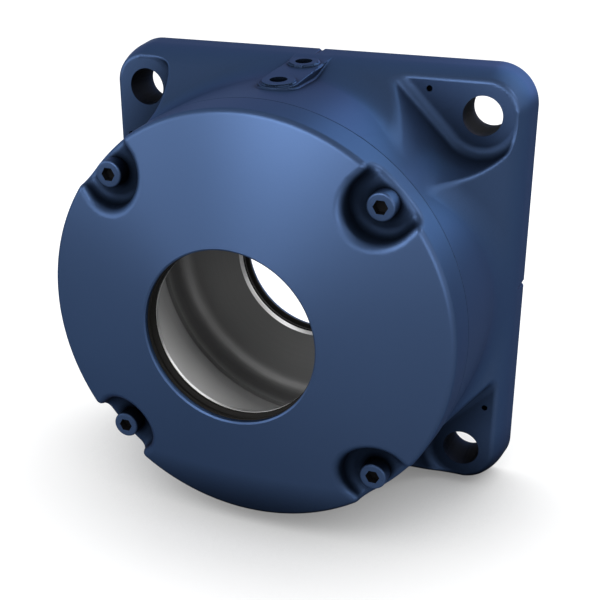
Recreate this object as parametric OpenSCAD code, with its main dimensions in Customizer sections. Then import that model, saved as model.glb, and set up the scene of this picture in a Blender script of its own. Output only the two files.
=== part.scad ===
// Square four-bolt flanged bearing housing with a bolted front cover and two shaft seals.
// The origin is the centre of the mounting face, on the bore axis.
// The bore runs along Y, the cover faces -Y and +Z is up. All sizes are in millimetres.

/* [Flange] */
// Width and height of the square mounting face
flange_w = 220; // [212:1:260]
// Height of the flange's side walls above the mounting face
flange_edge_h = 20; // [16:0.5:22]
// Corner radius of the mounting face
flange_corner_r = 20; // [14:0.5:24]
// How far each side wall leans in over its height
flange_edge_taper = 2; // [0.5:0.1:4]
// Angle between the sloping shoulders and the bore axis
shoulder_angle = 31.7; // [26:0.1:36]
// Distance from a mounting bolt to the sides of the mounting face
bolt_inset = 21.5; // [19:0.5:24]
// Diameter of the mounting bolt holes
bolt_hole_d = 19; // [14:0.5:22]
// Thickness of the flange under the bolt heads
pocket_floor_h = 23.6; // [21:0.2:30]
// Clear radius of a corner pocket around its bolt
pocket_r = 19.6; // [17:0.2:20.6]
// Draft angle of the pocket walls
pocket_draft = 5.5; // [3:0.5:7]
// Diameter of the cast locating mark in each pocket floor
mark_d = 3; // [2:0.5:5]
// Depth of the cast locating mark
mark_depth = 1; // [0.5:0.1:3]
// Distance from a bolt to its locating mark, along the pocket
mark_along = 26; // [22:0.5:28]
// Distance from a bolt to its locating mark, towards the edge
mark_out = 10.9; // [6:0.1:12]
// Width of the alignment notch in the middle of each side
notch_w = 3; // [2:0.1:5]
// Depth of the alignment notch
notch_depth = 1.2; // [0.6:0.1:2]
// Length of the alignment notch from the mounting face
notch_len = 15.7; // [8:0.1:18]

/* [Body] */
// Diameter of the bearing seat
seat_d = 160; // [152:1:164]
// Thickness of the wall around the seat at the cover joint
wall_t = 22; // [20:0.5:23]
// Draft angle of the round body
body_draft = 1; // [0.5:0.1:2]
// Height of the cover joint above the mounting face
joint_h = 84; // [78:1:96]
// Height above the mounting face where the finished seat ends
seat_end_h = 39; // [36:0.5:44]
// Radial step of the relief behind the seat
relief_step = 0.4; // [0.2:0.1:1]
// Height where the relief meets its run-out groove
groove_h = 31.5; // [28:0.5:34]
// Width of the run-out groove
groove_w = 2; // [1:0.1:3]
// Depth of the run-out groove below the seat
groove_depth = 1.2; // [0.6:0.1:2]
// Fillet radius between the chamber wall and the rear wall
chamber_fillet = 9; // [5:0.5:12]

/* [Cover] */
// Thickness of the cover at its rim
cover_rim_t = 17.8; // [16:0.2:24]
// Draft angle of the cover's rim
rim_draft = 4; // [1:0.5:5]
// Rise of the conical face from the rim to the nose
cover_rise = 16.7; // [10:0.1:22]
// Rounding of the rim's front edge
cover_edge_r = 3.5; // [1:0.5:5]
// Length of the spigot that centres the cover in the seat
spigot_len = 8; // [5:0.5:12]
// Thickness of the spigot wall
spigot_t = 7; // [5:0.5:9]
// Radial clearance between the spigot and the seat
spigot_fit = 0.05; // [0.02:0.01:0.2]
// Thickness of the cover's front wall behind the conical face
cover_wall_t = 11; // [9:0.5:13]

/* [Cover screws] */
// Distance from a cover screw to the outside of the cover
screw_inset = 9.5; // [8.5:0.5:11.5]
// Thread diameter of the cover screws
screw_d = 8; // [6:1:8]
// Length of a cover screw under its head
screw_len = 25; // [22:1:30]
// Diameter of the clearance hole in the cover
screw_hole_d = 9; // [8.5:0.1:10]
// Spare depth of the tapped hole beyond the screw tip
tap_spare = 5; // [2:0.5:8]
// Thickness of the cover under a screw head
scallop_floor_t = 11.5; // [9:0.5:13]
// Radius of the scallop around a screw head
scallop_r = 15; // [12:0.5:16]
// Draft angle of the scallop wall
scallop_draft = 6; // [2:0.5:8]

/* [Shaft passage] */
// Diameter of the shaft that the seals run on
shaft_d = 82.9; // [78:0.1:86]
// Radial running clearance between the shaft and the seals
seal_gap = 0.05; // [0.02:0.01:0.1]
// Radial clearance between the seal lips and the walls' bores
land_gap = 0.5; // [0.2:0.1:1]
// Radial thickness of a seal
seal_t = 6; // [5:0.5:6.5]
// Width of a seal along the shaft
seal_w = 7.5; // [6:0.1:8]
// Width of one sealing lip
lip_w = 1.6; // [1:0.1:2.2]
// Depth of the hollow between the two lips
lip_depth = 1.9; // [1:0.1:3]
// Clearance between a seal and its groove
seal_fit = 0.05; // [0.02:0.01:0.2]
// Wall left between the cover's face and its seal groove
front_land_t = 3; // [2.6:0.1:4]
// Wall left between the mounting face and the rear seal groove
rear_land_t = 2.8; // [2:0.1:4]
// Wall left between a seal groove and the bearing chamber
inner_land_t = 1.6; // [1.2:0.1:2.5]
// Width of the bevel on the chamber side of each seal groove
inner_bevel = 3; // [1:0.1:4]
// Bevel on the outer edge of the rear bore
bore_bevel = 0.8; // [0.4:0.1:1.5]

/* [Grease pad] */
// Half the width of the oblong pad
pad_r = 9.6; // [9:0.1:12]
// Height of the pad's top above the round body, at the front grease hole
pad_rise = 2.1; // [1.6:0.1:3]
// Slope of the pad's top, rising towards the mounting face
pad_tilt = 5.5; // [3:0.5:7]
// Distance from the cover joint back to the front grease hole
grease_setback = 27.1; // [24:0.1:32]
// Distance between the two grease holes along the pad
grease_spacing = 31.5; // [28:0.1:33]
// Radius of the raised ring around a grease hole
ring_r = 8; // [6:0.1:9]
// Height of the raised ring above the pad
ring_h = 1; // [0.4:0.1:1.5]
// Diameter of the grease holes
grease_d = 8.4; // [6:0.1:10]

/* [Hidden] */
$fn = 96;
paint = [0.17, 0.28, 0.49];
rubber = [0.05, 0.05, 0.05];
over = 1;
arc_steps = 8;

// Flange
flange_half = flange_w / 2;
edge_half = flange_half - flange_edge_taper;
corner_at = flange_half - flange_corner_r;
corner_top_r = flange_corner_r - flange_edge_taper;
shoulder_slope = tan(shoulder_angle);
bolt_at = flange_half - bolt_inset;
pocket_h = joint_h - pocket_floor_h + over;
pocket_spread = pocket_h * tan(pocket_draft);
wall_turn = 45;

// Body
seat_r = seat_d / 2;
body_top_r = seat_r + wall_t;
body_foot_r = body_top_r + joint_h * tan(body_draft);
relief_r = seat_r + relief_step;
wall_bore_r = shaft_d / 2 + seal_gap + land_gap;
rear_wall_t = rear_land_t + seal_w + 2 * seal_fit + inner_land_t;
seat_bevel = 1;
pad_root = wall_t / 2;
pad_z = body_top_r + pad_rise;
grease_front_h = joint_h - grease_setback;

// Seals
lip_r = shaft_d / 2 + seal_gap;
seal_r = lip_r + seal_t;
seal_groove_r = seal_r + seal_fit;
seal_groove_w = seal_w + 2 * seal_fit;

// Cover, measured from the joint
cover_r = body_top_r;
screw_at = cover_r - screw_inset;
rim_r = cover_r - cover_rim_t * tan(rim_draft);
nose_h = cover_rim_t + cover_rise;
cone_slope = cover_rise / (rim_r - wall_bore_r);
spigot_r = seat_r - spigot_fit;
hollow_r = spigot_r - spigot_t;
hollow_knee_r = screw_at - scallop_r - cover_wall_t;
front_groove_h = nose_h - front_land_t - seal_groove_w;
hollow_top_h = front_groove_h - inner_land_t;
hollow_side_drop = cover_rise / 2;
nose_round = 0.8;

// Cover screws, in the standard proportions of socket head cap screws
head_d = screw_d * 1.5 + 1;
head_h = screw_d;
socket_w = screw_d * 0.75;
socket_depth = screw_d / 2;
screw_foot_h = joint_h + scallop_floor_t - screw_len;
scallop_h = nose_h;
tip_bevel = 1;
head_bevel = 0.6;

// Turns a form drawn upright on the mounting face so that it faces the front
module face_front() {
    rotate([90, 0, 0]) children();
}

// Repeats a form at the four corners, turned and not mirrored
module four_turns() {
    for (i = [0:3]) rotate([0, 0, -90 * i]) children();
}

// Extrudes an outline given as across and height over a length along the second axis
module ridge(outline, from, to) {
    translate([0, to, 0]) rotate([90, 0, 0]) linear_extrude(to - from) polygon(outline);
}

// Height of the cover's conical face above the joint at a radius
function cone_h(r) = nose_h - (r - wall_bore_r) * cone_slope;

// Half width of the sloping shoulders at a height above the mounting face
function shoulder_half(h) = edge_half - (h - flange_edge_h) * shoulder_slope;

// Points of an arc from one angle to another
function arc(x, y, r, a0, a1, steps) = [
    for (i = [0:steps]) let (a = a0 + (a1 - a0) * i / steps) [x + r * cos(a), y + r * sin(a)]
];

// Section of the square flange and its shoulders, cut through two opposite sides
function flange_section() = [
    [-flange_half, 0],
    [flange_half, 0],
    [edge_half, flange_edge_h],
    [shoulder_half(joint_h), joint_h],
    [-shoulder_half(joint_h), joint_h],
    [-edge_half, flange_edge_h]
];

// Square flange with four sloping shoulders and rounded corners
module flange_block() {
    difference() {
        intersection() {
            ridge(flange_section(), -flange_half, flange_half);
            rotate([0, 0, 90]) ridge(flange_section(), -flange_half, flange_half);
        }
        four_turns() translate([corner_at, corner_at, -over])
            cube([flange_corner_r + over, flange_corner_r + over, joint_h + 2 * over]);
    }
    four_turns() translate([corner_at, corner_at, 0]) rotate_extrude() polygon([
        [0, 0],
        [flange_corner_r, 0],
        [corner_top_r, flange_edge_h],
        [0, flange_edge_h + corner_top_r / shoulder_slope]
    ]);
}

// Space cut away above one mounting bolt, open to the corner and along one side.
// The round end starts on the line where the straight wall touches it.
module corner_pocket() {
    translate([bolt_at, bolt_at, pocket_floor_h]) {
        rotate([0, 0, wall_turn + 180]) cylinder(h = pocket_h, r1 = pocket_r, r2 = pocket_r + pocket_spread);
        rotate([0, 0, wall_turn]) ridge([
            [-pocket_r, 0],
            [flange_half, 0],
            [flange_half, pocket_h],
            [-pocket_r - pocket_spread, pocket_h]
        ], 0, flange_half);
        cube([flange_corner_r * 2, flange_corner_r * 2, pocket_h]);
    }
}

module bolt_hole() {
    translate([bolt_at, bolt_at, -over]) cylinder(h = pocket_floor_h + 2 * over, d = bolt_hole_d);
}

module locating_mark() {
    translate([bolt_at - mark_along, bolt_at + mark_out, pocket_floor_h - mark_depth])
        cylinder(h = mark_depth + over, d = mark_d);
}

// V-shaped notch in the middle of the top side wall
module side_notch() {
    rotate([0, 0, 90]) translate([flange_half, 0, -over])
        linear_extrude(notch_len + over) polygon([
            [-notch_depth, 0],
            [over, -notch_w / 2 * (notch_depth + over) / notch_depth],
            [over, notch_w / 2 * (notch_depth + over) / notch_depth]
        ]);
}

// Places a form on the sloping top of the pad, with its third axis out of the pad
module on_pad(along) {
    translate([0, pad_z, grease_front_h]) rotate([pad_tilt - 90, 0, 0])
        translate([0, along, 0]) children();
}

// Oblong pad on top of the body with a raised ring around each grease hole
module grease_pad() {
    on_pad(0) translate([0, 0, -pad_root]) cylinder(h = pad_root, r = pad_r);
    on_pad(0) translate([-pad_r, 0, -pad_root]) cube([2 * pad_r, grease_spacing + pad_r, pad_root]);
    for (along = [0, grease_spacing])
        on_pad(along) translate([0, 0, -pad_root]) cylinder(h = pad_root + ring_h, r = ring_r);
}

module grease_holes() {
    for (along = [0, grease_spacing])
        on_pad(along) translate([0, 0, -body_foot_r / 2]) cylinder(h = body_foot_r, d = grease_d);
}

// Round space inside the body, from the mounting face to the cover joint
module chamber() {
    rotate_extrude() polygon(concat([
        [0, -over],
        [wall_bore_r + bore_bevel + over, -over],
        [wall_bore_r, bore_bevel],
        [wall_bore_r, rear_land_t],
        [seal_groove_r, rear_land_t],
        [seal_groove_r, rear_land_t + seal_groove_w],
        [wall_bore_r, rear_land_t + seal_groove_w],
        [wall_bore_r + inner_bevel, rear_wall_t]
    ],
    arc(seat_r - chamber_fillet, rear_wall_t + chamber_fillet, chamber_fillet, -90, 0, arc_steps),
    [
        [seat_r, groove_h - groove_w],
        [seat_r + groove_depth, groove_h - groove_w],
        [seat_r + groove_depth, groove_h],
        [relief_r, groove_h],
        [relief_r, seat_end_h - relief_step],
        [seat_r, seat_end_h],
        [seat_r, joint_h - seat_bevel],
        [seat_r + seat_bevel + over, joint_h + over],
        [0, joint_h + over]
    ]));
}

// Tapped holes that take the cover screws
module tapped_holes() {
    four_turns() rotate([0, 0, 45]) translate([screw_at, 0, screw_foot_h - tap_spare])
        cylinder(h = joint_h - screw_foot_h + tap_spare + over, d = screw_d);
}

module housing_body() {
    color(paint) face_front() difference() {
        union() {
            cylinder(h = joint_h, r1 = body_foot_r, r2 = body_top_r);
            difference() {
                flange_block();
                four_turns() corner_pocket();
                four_turns() side_notch();
            }
            grease_pad();
        }
        chamber();
        four_turns() bolt_hole();
        four_turns() locating_mark();
        grease_holes();
        tapped_holes();
    }
}

// Scallop that clears one screw head and runs out through the rim
module scallop() {
    spread = scallop_h * tan(scallop_draft);
    rotate([0, 0, 45]) translate([screw_at, 0, scallop_floor_t]) {
        cylinder(h = scallop_h, r1 = scallop_r, r2 = scallop_r + spread);
        rotate([0, 0, -90]) ridge([
            [-scallop_r, 0],
            [scallop_r, 0],
            [scallop_r + spread, scallop_h],
            [-scallop_r - spread, scallop_h]
        ], 0, cover_r);
        translate([0, 0, -scallop_floor_t - over])
            cylinder(h = scallop_floor_t + 2 * over, d = screw_hole_d);
    }
}

// Turned section of the cover, measured from the joint
module cover_blank() {
    edge_turn = 90 - atan(cone_slope) - rim_draft;
    edge_drop = cover_edge_r * tan(edge_turn / 2);
    rotate_extrude() polygon(concat([
        [hollow_r, -spigot_len],
        [spigot_r, -spigot_len],
        [spigot_r, 0],
        [cover_r, 0]
    ],
    arc(rim_r + edge_drop * sin(rim_draft) - cover_edge_r * cos(rim_draft),
        cover_rim_t - edge_drop * cos(rim_draft) - cover_edge_r * sin(rim_draft),
        cover_edge_r, rim_draft, rim_draft + edge_turn, arc_steps),
    [
        [wall_bore_r + nose_round, cone_h(wall_bore_r + nose_round)],
        [wall_bore_r, nose_h - nose_round],
        [wall_bore_r, nose_h - front_land_t],
        [seal_groove_r, nose_h - front_land_t],
        [seal_groove_r, front_groove_h],
        [wall_bore_r, front_groove_h],
        [wall_bore_r + inner_bevel, hollow_top_h],
        [seal_groove_r, hollow_top_h],
        [hollow_knee_r, cone_h(hollow_knee_r) - cover_wall_t],
        [hollow_r, cone_h(hollow_r) - cover_wall_t - hollow_side_drop]
    ]));
}

module front_cover() {
    color(paint) face_front() translate([0, 0, joint_h]) difference() {
        cover_blank();
        four_turns() scallop();
    }
}

// Socket head cap screw number n, counted clockwise from the upper right
module cover_screw(n) {
    color(paint) face_front() rotate([0, 0, 45 - 90 * (n - 1)]) translate([screw_at, 0, screw_foot_h])
        rotate([0, 0, 90 * (n - 1) - 45]) difference() {
            rotate_extrude() polygon([
                [0, 0],
                [screw_d / 2 - tip_bevel, 0],
                [screw_d / 2, tip_bevel],
                [screw_d / 2, screw_len],
                [head_d / 2, screw_len],
                [head_d / 2, screw_len + head_h - head_bevel],
                [head_d / 2 - head_bevel, screw_len + head_h],
                [0, screw_len + head_h]
            ]);
            translate([0, 0, screw_len + head_h - socket_depth])
                cylinder(h = socket_depth + over, d = socket_w / cos(30), $fn = 6);
        }
}

// Rubber ring with a sealing lip at each side
module seal() {
    rotate_extrude() polygon([
        [seal_r, 0],
        [seal_r, seal_w],
        [lip_r, seal_w],
        [lip_r, seal_w - lip_w],
        [lip_r + lip_depth, seal_w - 1.5 * lip_w],
        [lip_r + lip_depth, 1.5 * lip_w],
        [lip_r, lip_w],
        [lip_r, 0]
    ]);
}

module front_seal() {
    color(rubber) face_front() translate([0, 0, joint_h + front_groove_h + seal_fit]) seal();
}

module rear_seal() {
    color(rubber) face_front() translate([0, 0, rear_land_t + seal_fit]) seal();
}

housing_body();
front_cover();
cover_screw(1);  // cover_screw_1
cover_screw(2);  // cover_screw_2
cover_screw(3);  // cover_screw_3
cover_screw(4);  // cover_screw_4
front_seal();
rear_seal();
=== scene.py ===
"""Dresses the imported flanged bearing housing: soft cast iron forms, machined insides, paint and a studio.

Lengths inside the modelling functions are millimetres in the housing's upright frame: x to the right,
u upwards, and d out of the mounting face. Objects are in metres in the row frame: x, -d, u.
"""

import math
from contextlib import contextmanager

import bmesh
import bpy
import numpy as np
from mathutils import Matrix, Vector


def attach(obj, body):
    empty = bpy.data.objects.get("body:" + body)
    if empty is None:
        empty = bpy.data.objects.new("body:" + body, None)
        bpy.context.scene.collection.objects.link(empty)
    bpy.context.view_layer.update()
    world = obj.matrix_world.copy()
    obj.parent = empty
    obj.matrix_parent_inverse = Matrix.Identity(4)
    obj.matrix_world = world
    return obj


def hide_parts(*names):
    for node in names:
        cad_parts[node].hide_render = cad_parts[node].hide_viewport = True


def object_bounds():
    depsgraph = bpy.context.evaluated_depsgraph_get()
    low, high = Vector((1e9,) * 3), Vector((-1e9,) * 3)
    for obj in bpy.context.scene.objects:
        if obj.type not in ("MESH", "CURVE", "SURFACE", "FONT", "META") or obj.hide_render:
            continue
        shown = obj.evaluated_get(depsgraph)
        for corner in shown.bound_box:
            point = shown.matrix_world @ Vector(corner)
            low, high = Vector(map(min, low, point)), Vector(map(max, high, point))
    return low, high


bl_info = {
    "name": "Flanged bearing housing",
    "version": (1, 0, 0),
    "blender": (4, 5, 0),
    "location": "View3D > Sidebar > Housing",
    "description": "Builds the visible pieces, finishes and studio of a flanged bearing housing",
    "category": "Add Mesh",
}

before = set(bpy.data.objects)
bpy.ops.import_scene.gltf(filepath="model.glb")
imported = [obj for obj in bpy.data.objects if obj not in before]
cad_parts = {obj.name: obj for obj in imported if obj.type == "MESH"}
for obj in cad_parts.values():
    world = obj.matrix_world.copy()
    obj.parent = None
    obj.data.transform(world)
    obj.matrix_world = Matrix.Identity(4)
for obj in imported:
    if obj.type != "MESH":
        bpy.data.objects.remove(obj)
cad_low, cad_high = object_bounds()

MM = 0.001
BODY = "root"
SOLVER = "MANIFOLD"
QUARTER = math.pi / 2
DIAGONAL = math.sqrt(0.5)
TINY = 1e-9
UPRIGHT_TO_ROW = Matrix(((1, 0, 0), (0, 0, -1), (0, 1, 0))).to_4x4()

# Material slots of a casting
PAINTED, BARE = 0, 1

# Sizes that several pieces share. The front groove and the scallops' floor count from the joint
JOINT, HOUSING_RADIUS, SEAT_RADIUS = 84.0, 102.0, 80.0
SHAFT_RADIUS, LAND_RADIUS = 41.5, 42.0
SEAL_RADIUS, SEAL_WIDTH, FIT = 47.5, 7.5, 0.05
REAR_GROOVE, FRONT_GROOVE = 2.8, 23.9
GROOVE_RADIUS, GROOVE_WIDTH = SEAL_RADIUS + FIT, SEAL_WIDTH + 2 * FIT
SCREW_AT, SCREW_RADIUS, SCALLOP_FLOOR = 92.5, 4.0, 11.5
JOINT_EDGE, JOINT_GAP = HOUSING_RADIUS - 0.3, 1.6
BARE_RADIUS = 100.0

# How far rough solids and cutters reach past what they shape, and the steps of a large turned shape
PAST_END, PAST_CUT = 6.0, 3.0
ROUGH_STEPS, TURNED_STEPS = 160, 192


# Sizes and colours

def length(name, description, default):
    return bpy.props.FloatProperty(name=name, description=description, default=default * MM,
                                   unit="LENGTH", precision=4)


def colour(name, description, default):
    return bpy.props.FloatVectorProperty(name=name, description=description, default=default,
                                         subtype="COLOR", size=3, min=0.0, max=1.0)


class HousingSizes(bpy.types.PropertyGroup):
    """Radii of the casting's soft edges and the fineness of its mesh."""
    outer_edge: length("Outer edge", "Rounding between the flange's sides and shoulders", 5.0)
    pocket_edge: length("Pocket edge", "Rounding of a corner pocket's upper edge", 2.0)
    pocket_foot: length("Pocket foot", "Chamfer between a pocket's floor and its wall", 2.8)
    body_foot: length("Body foot", "Fillet between the round body and the shoulders", 6.0)
    rim_edge: length("Rim edge", "Rounding of the cover's front edge", 2.2)
    scallop_edge: length("Scallop edge", "Rounding of a scallop's upper edge", 3.4)
    scallop_foot: length("Scallop foot", "Fillet at the foot of a scallop's wall", 4.0)
    mesh_step: length("Mesh step", "Spacing of the cast surfaces' mesh", 1.25)


class HousingColours(bpy.types.PropertyGroup):
    """Colours of the housing's finishes."""
    paint: colour("Paint", "Satin blue paint on the castings and screws", (0.070, 0.121, 0.250))
    metal: colour("Metal", "Bare machined iron", (0.42, 0.42, 0.42))
    rubber: colour("Rubber", "Black seal rubber", (0.008, 0.007, 0.006))
    # The socket colour is near black: painted shade for the dark inside the screws' sockets
    socket: colour("Socket", "Blackened steel in the screws' sockets", (0.004, 0.004, 0.005))


# Meshes

def new_object(name, bm, materials=()):
    """Makes an object of a bmesh that is in upright millimetres, placed in the row frame."""
    bmesh.ops.transform(bm, matrix=Matrix.Scale(MM, 4) @ UPRIGHT_TO_ROW, verts=bm.verts)
    mesh = bpy.data.meshes.new(name)
    bm.to_mesh(mesh)
    bm.free()
    for material in materials:
        mesh.materials.append(material)
    obj = bpy.data.objects.new(name, mesh)
    bpy.context.scene.collection.objects.link(obj)
    return obj


@contextmanager
def edited(obj):
    """An object's mesh as a bmesh, which is written back at the end."""
    bm = bmesh.new()
    bm.from_mesh(obj.data)
    yield bm
    bm.to_mesh(obj.data)
    bm.free()


def spun(section, steps, slots=None):
    """Spins a closed section of (radius, depth) points about the bore axis. slots holds a slot for
    each side."""
    bm = bmesh.new()
    verts = [bm.verts.new((r, 0.0, d)) for r, d in section]
    middles = {}
    for i, vert in enumerate(verts):
        after = verts[(i + 1) % len(verts)]
        if vert.co.x > 0.0 or after.co.x > 0.0:
            bm.edges.new((vert, after))
            middles[i] = (vert.co + after.co) / 2
    bmesh.ops.spin(bm, geom=bm.verts[:] + bm.edges[:], axis=(0, 0, 1), cent=(0, 0, 0),
                   angle=2 * math.pi, steps=steps, use_merge=True)
    bmesh.ops.remove_doubles(bm, verts=bm.verts, dist=1e-4)
    if slots:
        shrink = math.cos(math.pi / steps)
        for face in bm.faces:
            centre = face.calc_center_median()
            radius = math.hypot(centre.x, centre.y) / shrink
            nearest = min(middles, key=lambda i: math.hypot(middles[i].x - radius,
                                                            middles[i].z - centre.z))
            face.material_index = slots[nearest]
    bmesh.ops.recalc_face_normals(bm, faces=bm.faces)
    return bm


def arc(centre, radius, start, end, steps):
    """Points of an arc in a section, its angles in degrees."""
    angles = [math.radians(start + (end - start) * i / steps) for i in range(steps + 1)]
    return [(centre[0] + radius * math.cos(a), centre[1] + radius * math.sin(a)) for a in angles]


def slots_of(section, low=-math.inf, high=math.inf):
    """The slot of each side of a section: bare metal between two depths inside the joint face."""
    slots = []
    for i, (r0, d0) in enumerate(section):
        r1, d1 = section[(i + 1) % len(section)]
        bare = (r0 + r1) / 2 < BARE_RADIUS and low < (d0 + d1) / 2 < high
        slots.append(BARE if bare else PAINTED)
    return slots


def rod(x, u, low, high, radius, top_radius=None, steps=48, turn=None):
    """A round rod, or a cone, standing on (x, u) from one depth to another, and turned afterwards."""
    bm = bmesh.new()
    bmesh.ops.create_cone(bm, cap_ends=True, segments=steps, radius1=radius,
                          radius2=radius if top_radius is None else top_radius, depth=high - low)
    place = Matrix.Translation((x, u, (low + high) / 2))
    bmesh.ops.transform(bm, matrix=turn @ place if turn else place, verts=bm.verts)
    return bm


def block(low, high, turn=None):
    """A box between two corners, turned afterwards."""
    bm = bmesh.new()
    size = Vector(high) - Vector(low)
    bmesh.ops.create_cube(bm, size=1.0)
    bmesh.ops.transform(bm, matrix=Matrix.Translation((Vector(low) + Vector(high)) / 2)
                        @ Matrix.Diagonal(size).to_4x4(), verts=bm.verts)
    if turn:
        bmesh.ops.transform(bm, matrix=turn, verts=bm.verts)
    return bm


def joined(parts):
    """One bmesh that holds several, which don't touch."""
    whole = bmesh.new()
    for part in parts:
        scratch = bpy.data.meshes.new("scratch")
        part.to_mesh(scratch)
        part.free()
        whole.from_mesh(scratch)
        bpy.data.meshes.remove(scratch)
    return whole


def four_turns(make):
    """Four copies of a bmesh, made by make(turn), at the four corners."""
    return joined([make(Matrix.Rotation(-QUARTER * i, 4, "Z")) for i in range(4)])


def settle(obj):
    """Replaces an object's mesh by the one that its modifiers give."""
    graph = bpy.context.evaluated_depsgraph_get()
    mesh = bpy.data.meshes.new_from_object(obj.evaluated_get(graph))
    old = obj.data
    obj.modifiers.clear()
    obj.data = mesh
    bpy.data.meshes.remove(old)
    mesh.name = obj.name


def use_up(obj, tool, operation):
    """Cuts, adds or intersects an object with another, which is removed."""
    modifier = obj.modifiers.new("combine", "BOOLEAN")
    modifier.operation = operation
    modifier.solver = SOLVER
    modifier.object = tool
    settle(obj)
    mesh = tool.data
    bpy.data.objects.remove(tool)
    bpy.data.meshes.remove(mesh)


def combine(obj, bm, operation, slot=None):
    """Cuts, adds or intersects a bmesh with an object, with all faces in a slot if one is given."""
    if slot is not None:
        for face in bm.faces:
            face.material_index = slot
    use_up(obj, new_object(obj.name + "_tool", bm, obj.data.materials), operation)


# Rounded forms, which are given by the distance of points in upright millimetres from their surfaces

def fillet_join(a, b, radius):
    """Joins two solids with a fillet in the inner corner."""
    bend = np.hypot(np.maximum(radius - a, 0.0), np.maximum(radius - b, 0.0))
    return np.maximum(radius, np.minimum(a, b)) - bend


def round_cut(a, b, radius):
    """What two solids share, with the edge between them rounded."""
    bend = np.hypot(np.maximum(radius + a, 0.0), np.maximum(radius + b, 0.0))
    return np.minimum(-radius, np.maximum(a, b)) + bend


def corner_copies(x, u):
    """The points as each of the four corners sees them, turned to the upper right."""
    for _ in range(4):
        yield x, u
        x, u = -u, x


class Casting:
    """Sizes and soft outer form of the housing body."""

    flange_half, corner_at, edge_height, taper = 110.0, 90.0, 20.0, 0.1
    shoulder_slope = math.tan(math.radians(31.7))
    body_slope = math.tan(math.radians(1.0))
    bolt_at, bolt_radius, floor_height, pocket_radius = 88.5, 9.5, 23.6, 19.6
    pocket_slope = math.tan(math.radians(5.5))
    draft_depth = 2.0
    foot_edge, foot_crease, run_out_fillet = 1.6, 0.5, 1.2
    pad_height, pad_front, pad_half = 104.1, 56.9, 9.6
    pad_tilt = math.radians(5.5)
    pad_draft, pad_edge, pad_foot = 0.15, 0.3, 0.9
    ring_radius, ring_height, ring_edge, ring_foot = 8.0, 1.1, 0.35, 0.25
    hole_radius, hole_spacing = 4.2, 31.5

    # Where the mesh is finer: about the pad, and where a pocket's wall runs out in the flange's side
    pad_zone_half, pad_zone_low, pad_zone_start, pad_zone_end = 15.0, 96.0, 10.0, 72.0
    run_out_at, run_out_reach, run_out_rise = (14.0, -6.0), (4.5, 12.0), 1.0

    def __init__(self, sizes):
        self.sizes = sizes

    def round_body(self, x, u, d):
        radius = HOUSING_RADIUS + (JOINT - d) * self.body_slope
        return np.hypot(x, u) - radius

    def flange(self, x, u, d):
        across, up = np.abs(x) - self.corner_at, np.abs(u) - self.corner_at
        square = np.hypot(np.maximum(across, 0.0), np.maximum(up, 0.0))
        square += np.minimum(np.maximum(across, up), 0.0)
        wall = square - (self.flange_half - self.corner_at - self.taper * d)
        rise = d - self.edge_height
        corner = self.flange_half - self.corner_at - self.taper * self.edge_height
        shoulder = square - (corner - rise * self.shoulder_slope)
        shoulder = shoulder * math.cos(math.atan(self.shoulder_slope))
        return round_cut(wall, shoulder, self.sizes.outer_edge / MM)

    def pockets(self, x, u, d):
        rise = d - self.floor_height
        spread = self.pocket_radius + np.maximum(rise, -self.draft_depth) * self.pocket_slope
        upright = math.cos(math.atan(self.pocket_slope))
        space = None
        for a, b in corner_copies(x, u):
            a, b = a - self.bolt_at, b - self.bolt_at
            out, along = (a + b) * DIAGONAL, (b - a) * DIAGONAL
            wall = (np.where(along > 0.0, -out, np.hypot(a, b)) - spread) * upright
            wall = np.minimum(wall, np.maximum(-a, -b))
            ramp = (wall - rise + self.sizes.pocket_foot / MM) * DIAGONAL
            pocket = round_cut(round_cut(wall, ramp, self.foot_edge),
                               round_cut(-rise, ramp, self.foot_edge), self.foot_crease)
            space = pocket if space is None else np.minimum(space, pocket)
        return space

    def pad(self, x, u, d):
        cos, sin = math.cos(self.pad_tilt), math.sin(self.pad_tilt)
        rise, ahead = u - self.pad_height, d - self.pad_front
        along, out = rise * sin - ahead * cos, rise * cos + ahead * sin
        flank = np.where(along < 0.0, np.hypot(x, along), np.abs(x))
        flank = flank - self.pad_half + np.minimum(out, 0.0) * self.pad_draft
        pad = round_cut(flank, out, self.pad_edge)
        for middle in (0.0, self.hole_spacing):
            ring = np.hypot(x, along - middle) - self.ring_radius
            ring = round_cut(ring, out - self.ring_height, self.ring_edge)
            pad = fillet_join(pad, ring, self.ring_foot)
        return pad

    def distance(self, x, u, d):
        body = self.round_body(x, u, d)
        solid = fillet_join(self.flange(x, u, d), body, self.sizes.body_foot / MM)
        edge = self.sizes.pocket_edge / MM
        pockets = self.pockets(x, u, d)
        solid = round_cut(solid, -pockets, edge)
        near_pocket = np.clip(1.0 - pockets / edge, 0.0, 1.0)
        solid = solid + (fillet_join(solid, body, self.run_out_fillet) - solid) * near_pocket
        return fillet_join(solid, self.pad(x, u, d), self.pad_foot)

    def fine(self, x, u, d):
        """Whether a point lies where the mesh has to be finer."""
        if (abs(x) < self.pad_zone_half and u > self.pad_zone_low
                and self.pad_zone_start < d < self.pad_zone_end):
            return True
        for a, b in corner_copies(x, u):
            a, b = a - self.bolt_at - self.run_out_at[0], b - self.bolt_at - self.run_out_at[1]
            if abs(a) < self.run_out_reach[0] and abs(b) < self.run_out_reach[1]:
                return d > self.edge_height + self.run_out_rise
        return False


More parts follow.
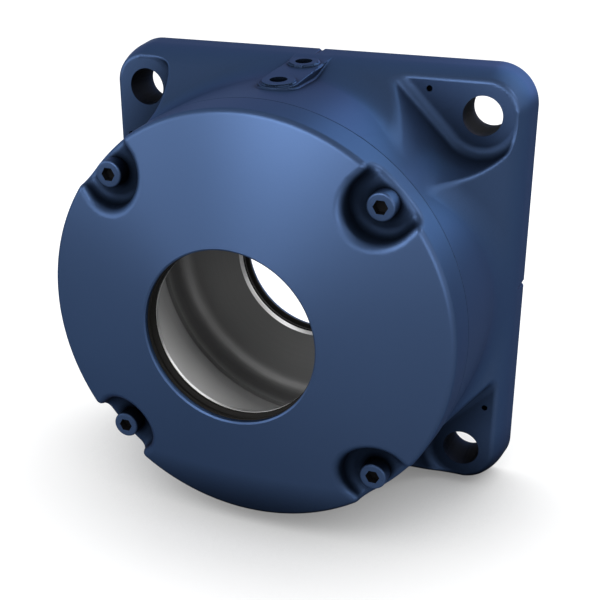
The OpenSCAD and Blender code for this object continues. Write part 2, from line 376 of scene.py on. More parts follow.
class Cover:
    """Sizes and soft outer form of the front cover. Depths count from its joint."""

    rim_height, nose_height = 17.8, 34.5
    rim_slope = math.tan(math.radians(4.0))
    scallop_radius, draft_depth = 15.0, 2.0
    scallop_slope = math.tan(math.radians(6.0))
    spigot_wall, spigot_length, spigot_bevel = 7.0, 8.0, 0.55

    def __init__(self, sizes):
        self.sizes = sizes
        rim = HOUSING_RADIUS - self.rim_height * self.rim_slope
        self.cone_slope = (self.nose_height - self.rim_height) / (rim - LAND_RADIUS)

    def cone_height(self, radius):
        return self.nose_height - (radius - LAND_RADIUS) * self.cone_slope

    def distance(self, x, u, d):
        rise, radius = d - JOINT, np.hypot(x, u)
        face = (rise - self.cone_height(radius)) * math.cos(math.atan(self.cone_slope))
        rim = radius - (HOUSING_RADIUS - rise * self.rim_slope)
        solid = round_cut(face, rim, self.sizes.rim_edge / MM)
        deep = rise - SCALLOP_FLOOR
        spread = self.scallop_radius + np.maximum(deep, -self.draft_depth) * self.scallop_slope
        upright = math.cos(math.atan(self.scallop_slope))
        for a, b in corner_copies(x, u):
            out = (a + b) * DIAGONAL - SCREW_AT
            aside = (b - a) * DIAGONAL
            wall = np.minimum(np.hypot(out, aside) - spread, np.maximum(np.abs(aside) - spread, -out))
            scallop = round_cut(wall * upright, -deep, self.sizes.scallop_foot / MM)
            solid = round_cut(solid, -scallop, self.sizes.scallop_edge / MM)
        return solid


# Softening: a rough solid is meshed evenly and pulled onto its rounded form

def column(items, name, width=1, kind=np.float32):
    """An attribute of all items of a mesh as an array, with a row for each item if it has a width."""
    values = np.empty(len(items) * width, kind)
    items.foreach_get(name, values)
    return values.reshape(-1, width) if width > 1 else values


def to_upright(vectors):
    """Vectors of the row frame, turned to the upright frame."""
    return np.stack((vectors[:, 0], vectors[:, 2], -vectors[:, 1]), axis=1)


def to_row(vectors):
    """Vectors of the upright frame, turned to the row frame."""
    return np.stack((vectors[:, 0], -vectors[:, 2], vectors[:, 1]), axis=1)


def points_of(obj):
    """An object's vertices in upright millimetres, as three columns x, u, d."""
    return to_upright(column(obj.data.vertices, "co", 3).astype(float) / MM)


def put_points(obj, points):
    obj.data.vertices.foreach_set("co", (to_row(points) * MM).astype(np.float32).ravel())
    obj.data.update()


def slope_of(form, points, step=0.02):
    """Distance and unnormalised gradient of a form at some points."""
    value = form.distance(*points.T)
    slope = np.empty_like(points)
    for axis in range(3):
        aside = points.copy()
        aside[:, axis] += step
        before = points.copy()
        before[:, axis] -= step
        slope[:, axis] = (form.distance(*aside.T) - form.distance(*before.T)) / (2 * step)
    return value, slope


def pull_onto(obj, form, rounds=8, reach=6.0, stride=1.5, close=1.0, alike=0.25, flattest=0.1):
    """Moves vertices onto a rounded form, except those past the reach. Those that aren't close to it
    also stay if they face another way."""
    points = points_of(obj)
    value, slope = slope_of(form, points)
    facing = to_upright(column(obj.data.vertex_normals, "vector", 3))
    off = np.abs(value)
    near = (off < close) | ((off < reach) & ((slope * facing).sum(axis=1) > alike))
    for _ in range(rounds):
        value, slope = slope_of(form, points[near])
        steep = np.maximum((slope ** 2).sum(axis=1), flattest)
        move = slope * (value / steep)[:, None]
        size = np.linalg.norm(move, axis=1)
        move *= np.minimum(1.0, stride / np.maximum(size, TINY))[:, None]
        points[near] -= move
    put_points(obj, points)


def soften(obj, form, step, fine=None):
    """Meshes an object evenly and pulls it onto its rounded form. fine(x, u, d) picks closer spots."""
    remesh = obj.modifiers.new("remesh", "REMESH")
    remesh.mode = "VOXEL"
    remesh.voxel_size = step
    settle(obj)
    pull_onto(obj, form)
    for _ in range(2):
        even = obj.modifiers.new("even", "SMOOTH")
        even.factor, even.iterations = 0.5, 2
        settle(obj)
        pull_onto(obj, form, rounds=5, reach=2.0)
    if fine:
        with edited(obj) as bm:
            chosen = [e for e in bm.edges
                      if all(fine(v.co.x / MM, v.co.z / MM, -v.co.y / MM) for v in e.verts)]
            bmesh.ops.subdivide_edges(bm, edges=chosen, cuts=2, use_grid_fill=True)
        pull_onto(obj, form, rounds=6, reach=2.0)


def trim_sides(obj, form):
    """Moves the points that softening left outside the flange's sides back onto them."""
    points = points_of(obj)
    depth = points[:, 2]
    half = form.flange_half - form.taper * np.maximum(depth, 0.0)
    half = np.where(depth < form.edge_height, half, form.flange_half)[:, None]
    points[:, :2] = np.clip(points[:, :2], -half, half)
    put_points(obj, points)


def smooth_by_angle(obj, degrees):
    """Smooth faces, with sharp edges between slots and where faces turn by more than an angle."""
    with edited(obj) as bm:
        for face in bm.faces:
            face.smooth = True
        for edge in bm.edges:
            slots = {face.material_index for face in edge.link_faces}
            edge.smooth = len(slots) == 1 and edge.calc_face_angle(0.0) < math.radians(degrees)


def shade(obj, form, edge_angle=22.0, close=0.05, alike=0.8):
    """Smooth shading: cast faces take the form's own normals, cut faces keep their sharp edges."""
    with edited(obj) as bm:
        bmesh.ops.dissolve_degenerate(bm, edges=bm.edges, dist=1e-6)
    smooth_by_angle(obj, edge_angle)
    mesh = obj.data
    normals = column(mesh.corner_normals, "vector", 3)
    value, slope = slope_of(form, points_of(obj), step=0.05)
    slope = to_row(slope)
    slope /= np.maximum(np.linalg.norm(slope, axis=1), TINY)[:, None]
    corners = column(mesh.loops, "vertex_index", kind=np.int32)
    slots = column(mesh.polygons, "material_index", kind=np.int32)
    counts = column(mesh.polygons, "loop_total", kind=np.int32)
    cast = np.repeat(slots, counts) == PAINTED
    cast &= np.abs(value[corners]) < close
    cast &= (normals * slope[corners]).sum(axis=1) > alike
    normals[cast] = slope[corners[cast]]
    mesh.normals_split_custom_set(normals.tolist())


def finish_piece(obj, slot, *nodes):
    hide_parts(*nodes)
    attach(obj, BODY)


# Materials

class Term:
    """A value in a node tree. Sums written with it add Math nodes."""

    def __init__(self, nodes, socket):
        self.nodes, self.socket = nodes, socket

    def maths(self, operation, *terms):
        return self.nodes.node("ShaderNodeMath", {"operation": operation}, *terms)

    def __add__(self, other):
        return self.maths("ADD", self, other)

    __radd__ = __add__

    def __mul__(self, other):
        return self.maths("MULTIPLY", self, other)

    __rmul__ = __mul__

    def __sub__(self, other):
        return self.maths("SUBTRACT", self, other)

    def __rsub__(self, other):
        return self.maths("SUBTRACT", other, self)

    def __pow__(self, other):
        return self.maths("POWER", self, other)

    def __rpow__(self, other):
        return self.maths("POWER", other, self)

    def most(self, other):
        """The greater of two values."""
        return self.maths("MAXIMUM", self, other)

    def below(self, limit):
        """One where the value is less than a limit, else nought."""
        return self.maths("LESS_THAN", self, limit)


def socket_name(name):
    """The shader's own name of a socket that is written as a keyword."""
    return name.replace("_", " ").title().replace("Ior", "IOR")


class Nodes:
    """A node tree that is built up node by node."""

    def __init__(self, tree):
        self.tree = tree
        tree.nodes.clear()

    def set(self, socket, value):
        """Links a term to a socket, or sets a plain value on it."""
        if isinstance(value, Term):
            self.tree.links.new(value.socket, socket)
        else:
            socket.default_value = value

    def node(self, kind, settings=None, *inputs, output=0, **named):
        """Adds a node of a kind with its settings, and the values or links of its sockets."""
        node = self.tree.nodes.new(kind)
        for name, value in (settings or {}).items():
            setattr(node, name, value)
        for socket, value in zip(node.inputs, inputs):
            self.set(socket, value)
        for name, value in named.items():
            self.set(node.inputs[name.replace("_", " ")], value)
        return Term(self, node.outputs[output])

    def mix(self, factor, first, second):
        """A shader between two, by a factor."""
        return self.node("ShaderNodeMixShader", None, factor, first, second)

    def run(self, value, start, end, first, last):
        """Runs from first to last while a value goes from start to end, and keeps still outside."""
        return self.node("ShaderNodeMapRange", None, value, start, end, first, last)

    def looks(self, gloss=1.0):
        """How far a ray shows a surface as the camera sees it: in full from the camera and through
        glass, and in the given part in a reflection."""
        camera, glossy, clear = (self.node("ShaderNodeLightPath", output=f"Is {kind} Ray")
                                 for kind in ("Camera", "Glossy", "Transmission"))
        return camera.most(glossy * gloss).most(clear)

    def split(self, vector):
        """The three numbers of a vector."""
        return [self.node("ShaderNodeSeparateXYZ", None, vector, output=axis) for axis in "XYZ"]


class Finish(Nodes):
    """A material with one principled shader."""

    def __init__(self, name, **constants):
        self.material = bpy.data.materials.new(name)
        self.material.use_nodes = True
        super().__init__(self.material.node_tree)
        self.shader = self.tree.nodes.new("ShaderNodeBsdfPrincipled")
        self.output = self.tree.nodes.new("ShaderNodeOutputMaterial")
        self.plain = Term(self, self.shader.outputs["BSDF"])
        self.show(self.plain)
        for name, value in constants.items():
            self.shader.inputs[socket_name(name)].default_value = value
        self.place = self.node("ShaderNodeTexCoord", output="Object")

    def show(self, shader):
        self.set(self.output.inputs["Surface"], shader)

    def noise(self, scale, detail=2.0, roughness=0.5, place=None):
        """Noise over the surface, by the object's own place in metres if no other is given."""
        return self.node("ShaderNodeTexNoise", None, Vector=place or self.place, Scale=scale,
                         Detail=detail, Roughness=roughness)

    def openness(self, reach, samples=8):
        """How open the surface lies, as far as things within a reach in metres cover it."""
        return self.node("ShaderNodeAmbientOcclusion", {"samples": samples}, Distance=reach,
                         output="AO")

    def blend(self, factor, first, second):
        """A colour between two, by a factor."""
        node = self.tree.nodes.new("ShaderNodeMix")
        node.data_type = "RGBA"
        colours = [s for s in node.inputs if s.type == "RGBA"]
        self.set(node.inputs[0], factor)
        self.set(colours[0], first)
        self.set(colours[1], second)
        return Term(self, [s for s in node.outputs if s.type == "RGBA"][0])

    def feed(self, **terms):
        for name, term in terms.items():
            self.set(self.shader.inputs[socket_name(name)], term)

    def bump(self, height, strength, distance):
        self.feed(Normal=self.node("ShaderNodeBump", None, Strength=strength, Distance=distance,
                                   Height=height))


def tint(colour_value, factor):
    return [min(1.0, c * factor) for c in colour_value] + [1.0]


def painted_iron(colours):
    """Satin blue paint over cast iron: a faint grain, slow changes of tone, and painted shade that darkens
    it nearly to black in recesses and crevices.
    """
    finish = Finish("satin_blue_paint", metallic=0.75, ior=1.3, specular_tint=(0.12, 0.22, 0.34, 1.0))
    broad, grain = finish.noise(scale=9.0), finish.noise(scale=900.0, detail=3.0, roughness=0.6)
    open_air, crevice = finish.openness(reach=0.035), finish.openness(reach=0.003)
    # Painted shade: the colour runs to near black where nearby surfaces cover the paint, within 35 mm and
    # within 3 mm
    painted_shade = open_air ** 3.0 * crevice ** 2.0
    tone = finish.blend(broad, tint(colours.paint, 0.93), tint(colours.paint, 1.07))
    finish.feed(Base_Color=finish.blend(painted_shade, tint(colours.paint, 0.03), tone),
                Roughness=0.70 + broad * 0.05 + grain * 0.05 - open_air * 0.35)
    finish.bump(grain, strength=0.06, distance=0.0004)
    return finish.material


def turned_metal(colours):
    """Bare turned iron: rings of tool marks about the bore axis, a polished land beside each seal that is
    also given a painted highlight, and painted shade: darker at the rear than at the seat and in fine
    grooves."""
    finish = Finish("turned_iron", metallic=0.85, ior=1.5)
    x, y, z = finish.split(finish.place)
    radius = (x * x + z * z) ** 0.5
    land_polish_and_highlight = radius.below((LAND_RADIUS + 1.5) * MM)
    across = finish.node("ShaderNodeCombineXYZ", None, radius, y, 0.0)
    rings = finish.noise(scale=2600.0, place=across)
    # Painted shade: the metal darkens from the seat towards the rear of the bore, and in fine grooves by
    # how covered it is; the rings add the tool marks' own tone
    seat = finish.run(y, start=-0.024, end=-0.034, first=0.0, last=0.8)
    painted_shade = (rings * 0.2 + seat) * finish.openness(reach=0.003)
    tone = finish.blend(painted_shade, tint(colours.metal, 0.57), tint(colours.metal, 1.6))
    # Painted highlight: the metal is made much paler on the land beside each seal to stand for the glint on
    # it; its lower roughness and full metallic are its real polish
    finish.feed(Base_Color=finish.blend(land_polish_and_highlight, tone, tint(colours.metal, 2.3)),
                Roughness=0.50 + rings * 0.12 - land_polish_and_highlight * 0.25, Metallic=0.85 + land_polish_and_highlight * 0.15)
    finish.bump(rings, strength=0.10, distance=0.0002)
    return finish.material


def seal_rubber(colours):
    """Black rubber, slightly worn to a satin sheen."""
    finish = Finish("black_rubber", metallic=0.0, ior=1.3)
    grain = finish.noise(scale=1400.0, detail=3.0)
    finish.feed(Base_Color=finish.blend(grain, tint(colours.rubber, 0.7), tint(colours.rubber, 1.4)),
                Roughness=0.55 + grain * 0.12)
    finish.bump(grain, strength=0.08, distance=0.0003)
    return finish.material


def black_steel(colours):
    """Near black and dull: painted shade that stands for the dark inside a deep socket."""
    finish = Finish("black_steel", metallic=0.0, ior=1.3)
    grain = finish.noise(scale=1200.0)
    finish.feed(Base_Color=finish.blend(grain, tint(colours.socket, 0.8), tint(colours.socket, 1.2)),
                Roughness=0.55 + grain * 0.1)
    return finish.material


MAKERS = {"satin_blue_paint": painted_iron, "turned_iron": turned_metal,
          "black_rubber": seal_rubber, "black_steel": black_steel}


def shared_material(name, colours):
    """Makes a material on its first use and finds it again later."""
    return bpy.data.materials.get(name) or MAKERS[name](colours)


def casting_materials(colours):
    """Slots of a casting: paint and bare metal."""
    return [shared_material(name, colours) for name in ("satin_blue_paint", "turned_iron")]


# Body

def rough_flange(form):
    """An object of the flange plate and its shoulders, with flat sides and the four pockets cut."""
    plate = bmesh.new()
    bmesh.ops.create_cube(plate, size=2.0)
    edges = [e for e in plate.edges if abs(e.verts[0].co.z - e.verts[1].co.z) > 1.0]
    corner_share = 0.18
    bmesh.ops.bevel(plate, geom=edges, offset=corner_share, segments=8, profile=0.5,
                    affect="EDGES", material=-1)
    for vert in plate.verts:
        level = -PAST_END if vert.co.z < 0.0 else form.edge_height
        half = form.flange_half - form.taper * level
        vert.co = (vert.co.x * half, vert.co.y * half, level)
    top = [f for f in plate.faces if f.calc_center_median().z > form.edge_height - 1.0
           and abs(f.normal.z) > 0.9]
    raised = bmesh.ops.extrude_face_region(plate, geom=top)["geom"]
    crown = JOINT - 2.0
    half = form.flange_half - form.taper * form.edge_height
    shrink = 1.0 - (crown - form.edge_height) * form.shoulder_slope / half
    for item in raised:
        if isinstance(item, bmesh.types.BMVert):
            item.co = (item.co.x * shrink, item.co.y * shrink, crown)
    bmesh.ops.delete(plate, geom=top, context="FACES_ONLY")
    bmesh.ops.recalc_face_normals(plate, faces=plate.faces)
    flange = new_object("rough_flange", plate)
    cut_pockets(flange, form)
    return flange


def cut_pockets(flange, form):
    """Cuts the corner pockets, each a round end, a straight slanted wall and an open corner."""
    at, floor, top = form.bolt_at, form.floor_height, JOINT + 20.0
    rise = top - floor
    spread = rise * form.pocket_slope
    reach = 90.0

    def round_end(turn):
        return rod(at, at, floor, top, form.pocket_radius, form.pocket_radius + spread, turn=turn)

    def straight_wall(turn):
        bm = block((-form.pocket_radius, 0.0, 0.0), (reach, reach, rise))
        for vert in bm.verts:
            if vert.co.x < 0.0 and vert.co.z > rise / 2:
                vert.co.x -= spread
        place = turn @ Matrix.Translation((at, at, floor)) @ Matrix.Rotation(QUARTER / 2, 4, "Z")
        bmesh.ops.transform(bm, matrix=place, verts=bm.verts)
        return bm

    def open_corner(turn):
        return block((at, at, floor), (at + 40.0, at + 40.0, top), turn)

    for make in (round_end, straight_wall, open_corner):
        combine(flange, four_turns(make), "DIFFERENCE")


def rough_pad():
    """The grease pad as a straight block and a round nose."""
    half, low, high, rear, front = 10.0, 85.0, 105.5, 14.0, 56.0
    upright = Matrix.Rotation(-QUARTER, 4, "X")
    return [block((-half, low, rear), (half, high, front)),
            rod(0.0, -front, low, high, half, turn=upright)]


def body_section():
    """Section of the body's inside from the rear bore to the joint face, then a wide margin."""
    wall, fillet, fillet_steps = 12.0, 9.0, 10
    bore_bevel, bevel_edge, inner_width, inner_height = 0.8, 0.4, 1.4, 1.0
    groove_start, groove_end, groove_depth, slant = 28.6, 31.9, 2.2, 0.2
    seat_end, relief, seat_bevel, margin = 39.0, 0.4, 1.0, 165.0
    seal_end = REAR_GROOVE + GROOVE_WIDTH
    bore = [(LAND_RADIUS + bore_bevel + bevel_edge, 0.0), (LAND_RADIUS + bevel_edge, bore_bevel),
            (LAND_RADIUS, bore_bevel + bevel_edge), (LAND_RADIUS, REAR_GROOVE),
            (GROOVE_RADIUS, REAR_GROOVE), (GROOVE_RADIUS, seal_end), (LAND_RADIUS, seal_end),
            (LAND_RADIUS, wall - inner_height), (LAND_RADIUS + inner_width, wall)]
    chamber = arc((SEAT_RADIUS - fillet, wall + fillet), fillet, -90.0, 0.0, fillet_steps)
    groove = [(SEAT_RADIUS, groove_start), (SEAT_RADIUS + groove_depth, groove_start + slant),
              (SEAT_RADIUS + groove_depth, groove_end - slant), (SEAT_RADIUS + relief, groove_end)]
    seat = [(SEAT_RADIUS + relief, seat_end - relief), (SEAT_RADIUS, seat_end),
            (SEAT_RADIUS, JOINT - seat_bevel), (SEAT_RADIUS + seat_bevel, JOINT)]
    joint = [(JOINT_EDGE, JOINT), (JOINT_EDGE + JOINT_GAP, JOINT - JOINT_GAP),
             (margin, JOINT - JOINT_GAP), (margin, 0.0)]
    return bore + chamber + groove + seat + joint


def body_holes(form):
    """Everything that is drilled, cored or cut into the casting."""
    at, floor, half = form.bolt_at, form.floor_height, form.flange_half
    mark_along, mark_out, mark_radius, mark_depth = 26.0, 10.9, 1.5, 3.0
    tapped_depth, grease_depth = 18.5, 40.0
    notch_half, notch_depth, notch_length = 1.5, 1.2, 15.7

    def bolt_hole(turn):
        return rod(at, at, -PAST_CUT, floor + PAST_CUT, form.bolt_radius, steps=64, turn=turn)

    def mark(turn):
        return rod(at - mark_along, at + mark_out, floor - mark_depth, floor + PAST_CUT,
                   mark_radius, steps=24, turn=turn)

    def tapped(turn):
        reach = SCREW_AT * DIAGONAL
        return rod(reach, reach, JOINT - tapped_depth, JOINT + PAST_CUT, SCREW_RADIUS, steps=32,
                   turn=turn)

    def notch(turn):
        past = 1.0
        wide = notch_half * (notch_depth + past) / notch_depth
        corners = ((half - notch_depth, 0.0), (half + past, wide), (half + past, -wide))
        bm = bmesh.new()
        side = bm.faces.new([bm.verts.new((*corner, -PAST_CUT)) for corner in corners])
        raised = bmesh.ops.extrude_face_region(bm, geom=[side])["geom"]
        tops = [item for item in raised if isinstance(item, bmesh.types.BMVert)]
        bmesh.ops.translate(bm, vec=(0.0, 0.0, PAST_CUT + notch_length), verts=tops)
        bmesh.ops.transform(bm, matrix=turn, verts=bm.verts)
        bmesh.ops.recalc_face_normals(bm, faces=bm.faces)
        return bm

    def grease_hole(along):
        lean = Matrix.Rotation(form.pad_tilt - QUARTER, 4, "X")
        place = Matrix.Translation((0.0, form.pad_height, form.pad_front)) @ lean
        return rod(0.0, along, -grease_depth, 2 * PAST_CUT, form.hole_radius, steps=40, turn=place)

    parts = [four_turns(make) for make in (bolt_hole, mark, tapped, notch)]
    return joined(parts + [grease_hole(0.0), grease_hole(form.hole_spacing)])


class HOUSING_OT_body(bpy.types.Operator):
    """Builds the housing body: a soft casting with a turned inside and drilled holes"""
    bl_idname = "housing.body"
    bl_label = "Housing body"

    def execute(self, context):
        sizes, colours = context.scene.housing_sizes, context.scene.housing_colours
        form = Casting(sizes)
        rough_draft = 1.6
        cone = rod(0.0, 0.0, -PAST_END, JOINT + PAST_END, HOUSING_RADIUS + rough_draft,
                   HOUSING_RADIUS, steps=ROUGH_STEPS)
        body = new_object("housing_body_casting", cone, casting_materials(colours))
        use_up(body, rough_flange(form), "UNION")
        for lump in rough_pad():
            combine(body, lump, "UNION")
        soften(body, form, sizes.mesh_step, form.fine)
        trim_sides(body, form)
        section = body_section()
        combine(body, spun(section, TURNED_STEPS, slots_of(section, low=10.0)), "INTERSECT")
        combine(body, body_holes(form), "DIFFERENCE")
        shade(body, form)
        finish_piece(body, "painted_casting", "housing_body")
        return {"FINISHED"}


# Cover, screws and seals

def raised_to_joint(section):
    """A section whose depths count from the joint, with depths from the mounting face."""
    return [(r, JOINT + d) for r, d in section]


def cover_section(form):
    """Section of the cover's bore, hollow, spigot and joint face, then a wide margin."""
    groove_end, land_end = FRONT_GROOVE + GROOVE_WIDTH, 22.3
    land_width, land_edge = 0.4, 0.2
    spigot, outer_bevel = SEAT_RADIUS - FIT, 0.6
    inner, inner_bevel, tip = spigot - form.spigot_wall, 0.5, form.spigot_length
    hollow_shoulder, hollow_foot = (66.5, 16.54), 6.37
    bore_bevel, bevel_top, margin, top = 0.8, 50.84, 120.0, 40.0
    bore = [(LAND_RADIUS, form.nose_height - bore_bevel), (LAND_RADIUS, groove_end),
            (GROOVE_RADIUS, groove_end), (GROOVE_RADIUS, FRONT_GROOVE), (LAND_RADIUS, FRONT_GROOVE),
            (LAND_RADIUS - land_width, FRONT_GROOVE - land_edge),
            (LAND_RADIUS - land_width, land_end + land_edge / 2),
            (LAND_RADIUS - land_edge, land_end), (GROOVE_RADIUS, land_end)]
    hollow = [hollow_shoulder, (inner, hollow_foot), (inner, inner_bevel - tip)]
    spigot_end = [(inner + form.spigot_bevel, -tip), (spigot - form.spigot_bevel, -tip),
                  (spigot, outer_bevel - tip), (spigot, 0.0)]
    joint = [(JOINT_EDGE, 0.0), (JOINT_EDGE + JOINT_GAP, JOINT_GAP), (margin, JOINT_GAP),
             (margin, top), (bevel_top, top)]
    return bore + hollow + spigot_end + joint


class HOUSING_OT_cover(bpy.types.Operator):
    """Builds the front cover: a soft cone with four scallops, a turned inside and four screw holes"""
    bl_idname = "housing.cover"
    bl_label = "Front cover"

    def execute(self, context):
        sizes, colours = context.scene.housing_sizes, context.scene.housing_colours
        form = Cover(sizes)
        rough_end, rough_wider, rough_narrower = -2 * PAST_END, 0.8, 1.3
        outline = [(0.0, rough_end), (HOUSING_RADIUS + rough_wider, rough_end),
                   (HOUSING_RADIUS - rough_narrower, form.rim_height), (0.0, form.cone_height(0.0))]
        cover = new_object("front_cover_casting", spun(raised_to_joint(outline), ROUGH_STEPS),
                           casting_materials(colours))
        floor, top = JOINT + SCALLOP_FLOOR, form.nose_height + 10.0
        spread = (top - SCALLOP_FLOOR) * form.scallop_slope
        reach = SCREW_AT * DIAGONAL

        def round_end(turn):
            return rod(reach, reach, floor, JOINT + top, form.scallop_radius,
                       form.scallop_radius + spread, turn=turn)

        def run_out(turn):
            radius = form.scallop_radius + spread / 2
            return block((SCREW_AT, -radius, floor), (HOUSING_RADIUS + 20.0, radius, JOINT + top),
                         turn @ Matrix.Rotation(QUARTER / 2, 4, "Z"))

        def screw_hole(turn):
            return rod(reach, reach, JOINT - PAST_CUT, floor + 3.5, SCREW_RADIUS + 0.5, steps=32,
                       turn=turn)

        for make in (round_end, run_out):
            combine(cover, four_turns(make), "DIFFERENCE")
        soften(cover, form, sizes.mesh_step)
        section = cover_section(form)
        turned = spun(raised_to_joint(section), TURNED_STEPS, slots_of(section, high=31.0))
        combine(cover, turned, "INTERSECT")
        combine(cover, four_turns(screw_hole), "DIFFERENCE")
        shade(cover, form)
        finish_piece(cover, "painted_casting", "front_cover")
        return {"FINISHED"}


class HOUSING_OT_screws(bpy.types.Operator):
    """Builds the four hexagon socket cap screws that hold the cover"""
    bl_idname = "housing.screws"
    bl_label = "Cover screws"

    def execute(self, context):
        colours = context.scene.housing_colours
        # The sockets take a near-black finish, painted shade for their deep inside
        materials = [shared_material(name, colours) for name in ("satin_blue_paint", "black_steel")]
        shank, tip, head, head_radius = 25.0, 1.0, 8.0, 6.5
        bevel, rounding, socket_half, socket_depth, socket_slot = 0.3, 1.1, 3.0, 4.0, 1
        seat = JOINT + SCALLOP_FLOOR
        foot, top = seat - shank, seat + head
        section = [(0.0, foot), (SCREW_RADIUS - tip, foot), (SCREW_RADIUS, foot + tip),
                   (SCREW_RADIUS, seat), (head_radius - bevel, seat), (head_radius, seat + bevel)]
        section += arc((head_radius - rounding, top - rounding), rounding, 0.0, 90.0, 5)
        section += [(0.0, top)]
        sixth = math.radians(30)
        for number in range(4):
            angle = QUARTER / 2 - QUARTER * number
            place = Matrix.Translation((SCREW_AT * math.cos(angle), SCREW_AT * math.sin(angle), 0.0))
            bm = spun(section, 64)
            bmesh.ops.transform(bm, matrix=place, verts=bm.verts)
            screw = new_object(f"cover_screw_{number + 1}_painted", bm, materials)
            socket = rod(0.0, 0.0, top - socket_depth, top + 2.0, socket_half / math.cos(sixth),
                         steps=6, turn=place @ Matrix.Rotation(sixth, 4, "Z"))
            combine(screw, socket, "DIFFERENCE", socket_slot)
            smooth_by_angle(screw, 32.0)
            finish_piece(screw, "painted_screw", f"cover_screw_{number + 1}")
        return {"FINISHED"}


class HOUSING_OT_seals(bpy.types.Operator):
    """Builds the two rubber shaft seals with their lips"""
    bl_idname = "housing.seals"
    bl_label = "Shaft seals"

    def execute(self, context):
        rubber = shared_material("black_rubber", context.scene.housing_colours)
        bevel, lip_end, lip_slant, waist, waist_end, waist_edge = 0.3, 1.3, (0.4, 0.5), 43.4, 2.6, 0.4
        rear = [(SEAL_RADIUS, bevel), (SEAL_RADIUS - bevel, 0.0), (SHAFT_RADIUS + bevel, 0.0),
                (SHAFT_RADIUS, bevel), (SHAFT_RADIUS, lip_end),
                (SHAFT_RADIUS + lip_slant[0], lip_end + lip_slant[1]),
                (waist - waist_edge, waist_end - waist_edge), (waist, waist_end)]
        front = [(r, SEAL_WIDTH - d) for r, d in rear]
        for name, low in (("front_seal", JOINT + FRONT_GROOVE + FIT), ("rear_seal", REAR_GROOVE + FIT)):
            section = [(r, low + d) for r, d in front + rear[::-1]]
            ring = new_object(name + "_rubber", spun(section, TURNED_STEPS), [rubber])
            smooth_by_angle(ring, 50.0)
            finish_piece(ring, "seal_rubber", name)
        return {"FINISHED"}


# Stage

# The camera as solved from the photograph: lens and sensor in millimetres, place in metres, and the
# direction back from its aim in degrees
LENS, SENSOR = 65.33, 36.0
CAMERA_PLACE = (0.19599, -0.51750, 0.20639)
CAMERA_AZIMUTH, CAMERA_ELEVATION = 21.925, 22.890

# Name, azimuth from the front, elevation, distance, size and power of each lamp, and what they aim at
LAMPS = (
    ("near_lamp", -9.0, 38.0, 0.36, 0.20, 0.38),
    ("front_lamp", 2.0, 24.0, 0.90, 0.40, 0.65),
    ("front_left_lamp", -60.0, 20.0, 0.90, 0.60, 1.2),
    ("front_right_lamp", 50.0, 14.0, 0.90, 0.50, 1.4),
    ("right_lamp", 95.0, 40.0, 0.90, 0.40, 1.1),
    ("back_right_lamp", 160.0, 25.0, 0.90, 0.80, 2.6),
)
LAMPS_AIM = Vector((0.0, -0.06, 0.02))


def direction(azimuth, elevation):
    """The direction that an azimuth from the front and an elevation give, in degrees."""
    turn, rise = math.radians(azimuth), math.radians(elevation)
    return Vector((math.sin(turn) * math.cos(rise), -math.cos(turn) * math.cos(rise), math.sin(rise)))


def place_looking(scene, obj, place, away):
    """Puts a camera or a lamp in the scene, looking against the given direction."""
    obj.location = place
    obj.rotation_mode = "QUATERNION"
    obj.rotation_quaternion = (-away).to_track_quat("-Z", "Y")
    scene.collection.objects.link(obj)


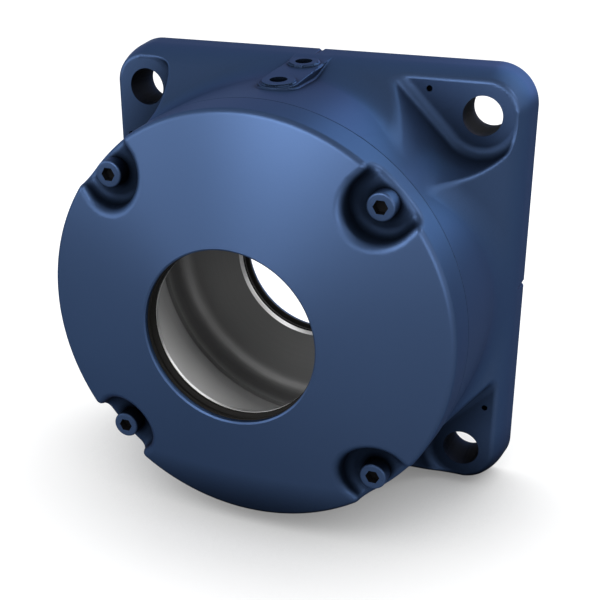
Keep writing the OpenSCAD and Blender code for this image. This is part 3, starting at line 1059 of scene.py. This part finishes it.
class HOUSING_OT_stage(bpy.types.Operator):
    """Builds the camera, the lamps, the pale floor and the white background"""
    bl_idname = "housing.stage"
    bl_label = "Stage"

    def execute(self, context):
        self.camera(context.scene)
        self.floor(context.scene)
        self.world(context.scene)
        self.lamps(context.scene)
        context.scene.view_settings.view_transform = "Standard"
        return {"FINISHED"}

    def camera(self, scene):
        data = bpy.data.cameras.new("camera")
        data.lens, data.sensor_width = LENS, SENSOR
        camera = bpy.data.objects.new("camera", data)
        place_looking(scene, camera, CAMERA_PLACE, direction(CAMERA_AZIMUTH, CAMERA_ELEVATION))
        scene.camera = camera

    def floor(self, scene):
        """A pale floor that looks white to the camera, but for the object's shadow: the lamps' real shadow
        on its grey, and a painted shadow where its white glow dims as the object covers it.
        """
        bm = bmesh.new()
        bmesh.ops.create_grid(bm, x_segments=1, y_segments=1, size=12.0)
        mesh = bpy.data.meshes.new("floor")
        bm.to_mesh(mesh)
        bm.free()
        floor = bpy.data.objects.new("floor", mesh)
        mesh.transform(Matrix.Translation((0.0, 0.0, cad_low.z)))
        scene.collection.objects.link(floor)
        finish = Finish("pale_floor", roughness=0.9, base_color=(0.34, 0.34, 0.34, 1.0),
                        specular_ior_level=0.0)
        # Painted shadow: the glow that makes the floor white drops to a dim one where the object covers the
        # floor within 16 cm
        shaded, white = 0.16, 1.08
        dim, bright = (finish.node("ShaderNodeEmission", None, Strength=strength)
                       for strength in (shaded, white))
        glow_with_painted_shadow = finish.mix(finish.openness(reach=0.16, samples=16) ** 1.4, dim, bright)
        pale = finish.node("ShaderNodeAddShader", None, finish.plain, glow_with_painted_shadow)
        finish.show(finish.mix(finish.looks(gloss=0.15), finish.plain, pale))
        mesh.materials.append(finish.material)

    def world(self, scene):
        """A dim sky on the object, and a white one, darker overhead, for all that looks at it."""
        world = bpy.data.worlds.new("studio")
        world.use_nodes = True
        nodes = Nodes(world.node_tree)
        output = nodes.tree.nodes.new("ShaderNodeOutputWorld")
        height = nodes.split(nodes.node("ShaderNodeTexCoord", output="Generated"))[2]
        sky = nodes.run(height, start=0.1, end=0.75, first=1.0, last=0.3)
        camera = nodes.node("ShaderNodeLightPath", output="Is Camera Ray")
        plain = nodes.node("ShaderNodeBackground", None, (0.9, 0.95, 1.0, 1.0), 0.25)
        white = nodes.node("ShaderNodeBackground", None, (1.0, 1.0, 1.0, 1.0), sky.most(camera))
        nodes.set(output.inputs["Surface"], nodes.mix(nodes.looks(), plain, white))
        scene.world = world

    def lamps(self, scene):
        """Soft lamps around the housing, each aimed at its middle."""
        for name, azimuth, elevation, distance, size, power in LAMPS:
            data = bpy.data.lights.new(name, "AREA")
            data.shape, data.size, data.energy = "DISK", size, power
            lamp = bpy.data.objects.new(name, data)
            lamp.visible_camera = False
            away = direction(azimuth, elevation)
            place_looking(scene, lamp, LAMPS_AIM + away * distance, away)


class HOUSING_PT_panel(bpy.types.Panel):
    """Lists the housing's pieces, sizes and colours"""
    bl_idname = "HOUSING_PT_panel"
    bl_label = "Flanged bearing housing"
    bl_space_type = "VIEW_3D"
    bl_region_type = "UI"
    bl_category = "Housing"

    def draw(self, context):
        for group in (context.scene.housing_sizes, context.scene.housing_colours):
            for name in group.bl_rna.properties.keys():
                if name not in ("rna_type", "name"):
                    self.layout.prop(group, name)
        for piece in PIECES:
            self.layout.operator(piece.bl_idname)


PIECES = (HOUSING_OT_body, HOUSING_OT_cover, HOUSING_OT_screws, HOUSING_OT_seals, HOUSING_OT_stage)
CLASSES = (HousingSizes, HousingColours) + PIECES + (HOUSING_PT_panel,)


def register():
    for cls in CLASSES:
        bpy.utils.register_class(cls)
    bpy.types.Scene.housing_sizes = bpy.props.PointerProperty(type=HousingSizes)
    bpy.types.Scene.housing_colours = bpy.props.PointerProperty(type=HousingColours)


def unregister():
    del bpy.types.Scene.housing_colours
    del bpy.types.Scene.housing_sizes
    for cls in reversed(CLASSES):
        bpy.utils.unregister_class(cls)


def main():
    register()
    bpy.ops.housing.stage()
    bpy.ops.housing.body()
    bpy.ops.housing.cover()
    bpy.ops.housing.screws()
    bpy.ops.housing.seals()


if __name__ == "__main__":
    main()
